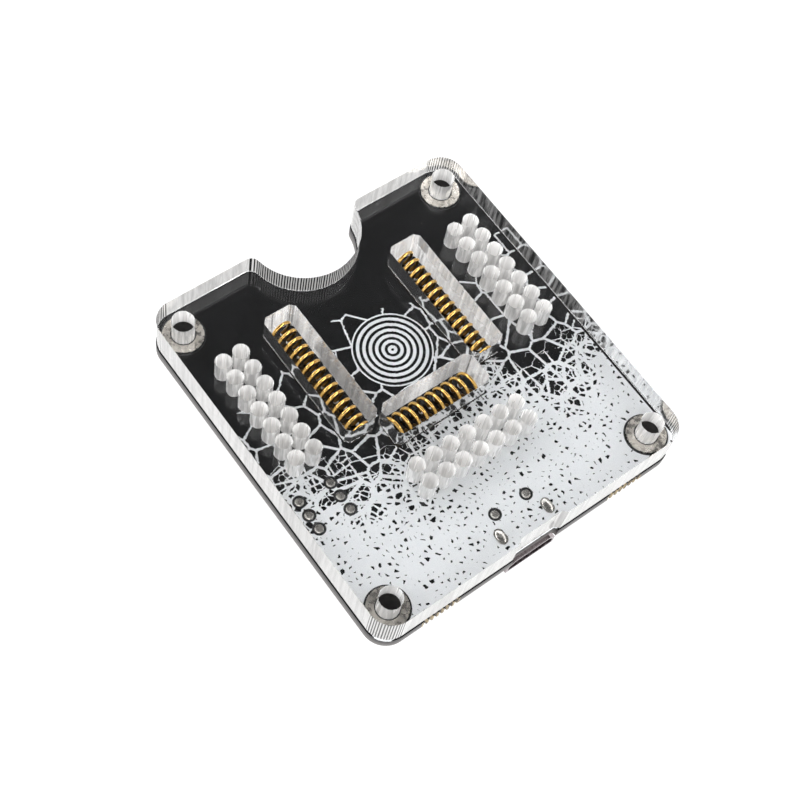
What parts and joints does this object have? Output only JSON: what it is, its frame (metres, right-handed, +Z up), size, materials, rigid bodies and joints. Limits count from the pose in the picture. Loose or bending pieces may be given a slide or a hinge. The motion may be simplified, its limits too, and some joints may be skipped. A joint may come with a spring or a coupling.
{
  "type": "programming fixture",
  "caption": "Square test fixture for a small wireless module: clear plate with finger notch and slots over rows of wire spring contacts, on a black board with header sockets below.",
  "frame": {"origin": "middle of the footprint, level with the undersides of the header sockets", "axes": "+Z up through the clear plate; +Y towards the edge with the finger notch; +X along the front edge, to the right when the notch is at the back"},
  "size_m": [0.0466, 0.0494, 0.0154],
  "materials": {
    "clear_acrylic": "clear, polished faces, laser-cut edges",
    "board_black": "glossy black solder mask with white print",
    "tinned": "bright tin",
    "dark_steel": "blackened",
    "black_plastic": "moulded",
    "white_plastic": "moulded",
    "spring_steel": "drawn wire",
    "bright_steel": "bright plated sheet",
    "gold": "gold plated wire",
    "chip_black": "moulded epoxy",
    "tan_ceramic": "fired ceramic"
  },
  "bodies": {
    "fixture": {"cover_plate": "clear_acrylic", "circuit_board": "board_black", "board_lands": "tinned", "board_screws": "dark_steel", "header_left": "black_plastic", "header_right": "black_plastic", "header_front": "black_plastic", "header_contacts": "tinned", "solder_joints": "tinned", "switch_body": "black_plastic", "switch_spring": "spring_steel", "switch_pins": "tinned", "usb_shell": "bright_steel", "usb_tongue": "black_plastic", "usb_contacts": "gold", "serial_chip": "chip_black", "regulator": "chip_black", "transistors": "chip_black", "chip_leads": "tinned", "capacitors": "tan_ceramic", "resistors": "chip_black"},
    "switch_plunger": {"switch_plunger": "white_plastic"},
    "contact_left_01": {"contact_left_01": "gold"},
    "contact_left_02": {"contact_left_02": "gold"},
    "contact_left_03": {"contact_left_03": "gold"},
    "contact_left_04": {"contact_left_04": "gold"},
    "contact_left_05": {"contact_left_05": "gold"},
    "contact_left_06": {"contact_left_06": "gold"},
    "contact_left_07": {"contact_left_07": "gold"},
    "contact_left_08": {"contact_left_08": "gold"},
    "contact_left_09": {"contact_left_09": "gold"},
    "contact_left_10": {"contact_left_10": "gold"},
    "contact_left_11": {"contact_left_11": "gold"},
    "contact_left_12": {"contact_left_12": "gold"},
    "contact_left_13": {"contact_left_13": "gold"},
    "contact_left_14": {"contact_left_14": "gold"},
    "contact_right_01": {"contact_right_01": "gold"},
    "contact_right_02": {"contact_right_02": "gold"},
    "contact_right_03": {"contact_right_03": "gold"},
    "contact_right_04": {"contact_right_04": "gold"},
    "contact_right_05": {"contact_right_05": "gold"},
    "contact_right_06": {"contact_right_06": "gold"},
    "contact_right_07": {"contact_right_07": "gold"},
    "contact_right_08": {"contact_right_08": "gold"},
    "contact_right_09": {"contact_right_09": "gold"},
    "contact_right_10": {"contact_right_10": "gold"},
    "contact_right_11": {"contact_right_11": "gold"},
    "contact_right_12": {"contact_right_12": "gold"},
    "contact_right_13": {"contact_right_13": "gold"},
    "contact_right_14": {"contact_right_14": "gold"},
    "contact_front_01": {"contact_front_01": "gold"},
    "contact_front_02": {"contact_front_02": "gold"},
    "contact_front_03": {"contact_front_03": "gold"},
    "contact_front_04": {"contact_front_04": "gold"},
    "contact_front_05": {"contact_front_05": "gold"},
    "contact_front_06": {"contact_front_06": "gold"},
    "contact_front_07": {"contact_front_07": "gold"},
    "contact_front_08": {"contact_front_08": "gold"},
    "contact_front_09": {"contact_front_09": "gold"},
    "contact_front_10": {"contact_front_10": "gold"}
  },
  "joints": [
    {"name": "switch_press", "type": "slide", "parent": "fixture", "child": "switch_plunger", "axis": [0, 0, 1], "range_m": [0, 0.0015], "stiffness_N_per_m": 1300, "springref_m": -0.0003, "deforming": ["switch_spring"]},
    {"name": "press_left_01", "type": "slide", "parent": "fixture", "child": "contact_left_01", "axis": [0, 0, -1], "range_m": [0, 0.0005], "stiffness_N_per_m": 500, "deforming": ["contact_left_01"]},
    {"name": "press_left_02", "type": "slide", "parent": "fixture", "child": "contact_left_02", "axis": [0, 0, -1], "range_m": [0, 0.0005], "stiffness_N_per_m": 500, "deforming": ["contact_left_02"]},
    {"name": "press_left_03", "type": "slide", "parent": "fixture", "child": "contact_left_03", "axis": [0, 0, -1], "range_m": [0, 0.0005], "stiffness_N_per_m": 500, "deforming": ["contact_left_03"]},
    {"name": "press_left_04", "type": "slide", "parent": "fixture", "child": "contact_left_04", "axis": [0, 0, -1], "range_m": [0, 0.0005], "stiffness_N_per_m": 500, "deforming": ["contact_left_04"]},
    {"name": "press_left_05", "type": "slide", "parent": "fixture", "child": "contact_left_05", "axis": [0, 0, -1], "range_m": [0, 0.0005], "stiffness_N_per_m": 500, "deforming": ["contact_left_05"]},
    {"name": "press_left_06", "type": "slide", "parent": "fixture", "child": "contact_left_06", "axis": [0, 0, -1], "range_m": [0, 0.0005], "stiffness_N_per_m": 500, "deforming": ["contact_left_06"]},
    {"name": "press_left_07", "type": "slide", "parent": "fixture", "child": "contact_left_07", "axis": [0, 0, -1], "range_m": [0, 0.0005], "stiffness_N_per_m": 500, "deforming": ["contact_left_07"]},
    {"name": "press_left_08", "type": "slide", "parent": "fixture", "child": "contact_left_08", "axis": [0, 0, -1], "range_m": [0, 0.0005], "stiffness_N_per_m": 500, "deforming": ["contact_left_08"]},
    {"name": "press_left_09", "type": "slide", "parent": "fixture", "child": "contact_left_09", "axis": [0, 0, -1], "range_m": [0, 0.0005], "stiffness_N_per_m": 500, "deforming": ["contact_left_09"]},
    {"name": "press_left_10", "type": "slide", "parent": "fixture", "child": "contact_left_10", "axis": [0, 0, -1], "range_m": [0, 0.0005], "stiffness_N_per_m": 500, "deforming": ["contact_left_10"]},
    {"name": "press_left_11", "type": "slide", "parent": "fixture", "child": "contact_left_11", "axis": [0, 0, -1], "range_m": [0, 0.0005], "stiffness_N_per_m": 500, "deforming": ["contact_left_11"]},
    {"name": "press_left_12", "type": "slide", "parent": "fixture", "child": "contact_left_12", "axis": [0, 0, -1], "range_m": [0, 0.0005], "stiffness_N_per_m": 500, "deforming": ["contact_left_12"]},
    {"name": "press_left_13", "type": "slide", "parent": "fixture", "child": "contact_left_13", "axis": [0, 0, -1], "range_m": [0, 0.0005], "stiffness_N_per_m": 500, "deforming": ["contact_left_13"]},
    {"name": "press_left_14", "type": "slide", "parent": "fixture", "child": "contact_left_14", "axis": [0, 0, -1], "range_m": [0, 0.0005], "stiffness_N_per_m": 500, "deforming": ["contact_left_14"]},
    {"name": "press_right_01", "type": "slide", "parent": "fixture", "child": "contact_right_01", "axis": [0, 0, -1], "range_m": [0, 0.0005], "stiffness_N_per_m": 500, "deforming": ["contact_right_01"]},
    {"name": "press_right_02", "type": "slide", "parent": "fixture", "child": "contact_right_02", "axis": [0, 0, -1], "range_m": [0, 0.0005], "stiffness_N_per_m": 500, "deforming": ["contact_right_02"]},
    {"name": "press_right_03", "type": "slide", "parent": "fixture", "child": "contact_right_03", "axis": [0, 0, -1], "range_m": [0, 0.0005], "stiffness_N_per_m": 500, "deforming": ["contact_right_03"]},
    {"name": "press_right_04", "type": "slide", "parent": "fixture", "child": "contact_right_04", "axis": [0, 0, -1], "range_m": [0, 0.0005], "stiffness_N_per_m": 500, "deforming": ["contact_right_04"]},
    {"name": "press_right_05", "type": "slide", "parent": "fixture", "child": "contact_right_05", "axis": [0, 0, -1], "range_m": [0, 0.0005], "stiffness_N_per_m": 500, "deforming": ["contact_right_05"]},
    {"name": "press_right_06", "type": "slide", "parent": "fixture", "child": "contact_right_06", "axis": [0, 0, -1], "range_m": [0, 0.0005], "stiffness_N_per_m": 500, "deforming": ["contact_right_06"]},
    {"name": "press_right_07", "type": "slide", "parent": "fixture", "child": "contact_right_07", "axis": [0, 0, -1], "range_m": [0, 0.0005], "stiffness_N_per_m": 500, "deforming": ["contact_right_07"]},
    {"name": "press_right_08", "type": "slide", "parent": "fixture", "child": "contact_right_08", "axis": [0, 0, -1], "range_m": [0, 0.0005], "stiffness_N_per_m": 500, "deforming": ["contact_right_08"]},
    {"name": "press_right_09", "type": "slide", "parent": "fixture", "child": "contact_right_09", "axis": [0, 0, -1], "range_m": [0, 0.0005], "stiffness_N_per_m": 500, "deforming": ["contact_right_09"]},
    {"name": "press_right_10", "type": "slide", "parent": "fixture", "child": "contact_right_10", "axis": [0, 0, -1], "range_m": [0, 0.0005], "stiffness_N_per_m": 500, "deforming": ["contact_right_10"]},
    {"name": "press_right_11", "type": "slide", "parent": "fixture", "child": "contact_right_11", "axis": [0, 0, -1], "range_m": [0, 0.0005], "stiffness_N_per_m": 500, "deforming": ["contact_right_11"]},
    {"name": "press_right_12", "type": "slide", "parent": "fixture", "child": "contact_right_12", "axis": [0, 0, -1], "range_m": [0, 0.0005], "stiffness_N_per_m": 500, "deforming": ["contact_right_12"]},
    {"name": "press_right_13", "type": "slide", "parent": "fixture", "child": "contact_right_13", "axis": [0, 0, -1], "range_m": [0, 0.0005], "stiffness_N_per_m": 500, "deforming": ["contact_right_13"]},
    {"name": "press_right_14", "type": "slide", "parent": "fixture", "child": "contact_right_14", "axis": [0, 0, -1], "range_m": [0, 0.0005], "stiffness_N_per_m": 500, "deforming": ["contact_right_14"]},
    {"name": "press_front_01", "type": "slide", "parent": "fixture", "child": "contact_front_01", "axis": [0, 0, -1], "range_m": [0, 0.0005], "stiffness_N_per_m": 500, "deforming": ["contact_front_01"]},
    {"name": "press_front_02", "type": "slide", "parent": "fixture", "child": "contact_front_02", "axis": [0, 0, -1], "range_m": [0, 0.0005], "stiffness_N_per_m": 500, "deforming": ["contact_front_02"]},
    {"name": "press_front_03", "type": "slide", "parent": "fixture", "child": "contact_front_03", "axis": [0, 0, -1], "range_m": [0, 0.0005], "stiffness_N_per_m": 500, "deforming": ["contact_front_03"]},
    {"name": "press_front_04", "type": "slide", "parent": "fixture", "child": "contact_front_04", "axis": [0, 0, -1], "range_m": [0, 0.0005], "stiffness_N_per_m": 500, "deforming": ["contact_front_04"]},
    {"name": "press_front_05", "type": "slide", "parent": "fixture", "child": "contact_front_05", "axis": [0, 0, -1], "range_m": [0, 0.0005], "stiffness_N_per_m": 500, "deforming": ["contact_front_05"]},
    {"name": "press_front_06", "type": "slide", "parent": "fixture", "child": "contact_front_06", "axis": [0, 0, -1], "range_m": [0, 0.0005], "stiffness_N_per_m": 500, "deforming": ["contact_front_06"]},
    {"name": "press_front_07", "type": "slide", "parent": "fixture", "child": "contact_front_07", "axis": [0, 0, -1], "range_m": [0, 0.0005], "stiffness_N_per_m": 500, "deforming": ["contact_front_07"]},
    {"name": "press_front_08", "type": "slide", "parent": "fixture", "child": "contact_front_08", "axis": [0, 0, -1], "range_m": [0, 0.0005], "stiffness_N_per_m": 500, "deforming": ["contact_front_08"]},
    {"name": "press_front_09", "type": "slide", "parent": "fixture", "child": "contact_front_09", "axis": [0, 0, -1], "range_m": [0, 0.0005], "stiffness_N_per_m": 500, "deforming": ["contact_front_09"]},
    {"name": "press_front_10", "type": "slide", "parent": "fixture", "child": "contact_front_10", "axis": [0, 0, -1], "range_m": [0, 0.0005], "stiffness_N_per_m": 500, "deforming": ["contact_front_10"]}
  ]
}
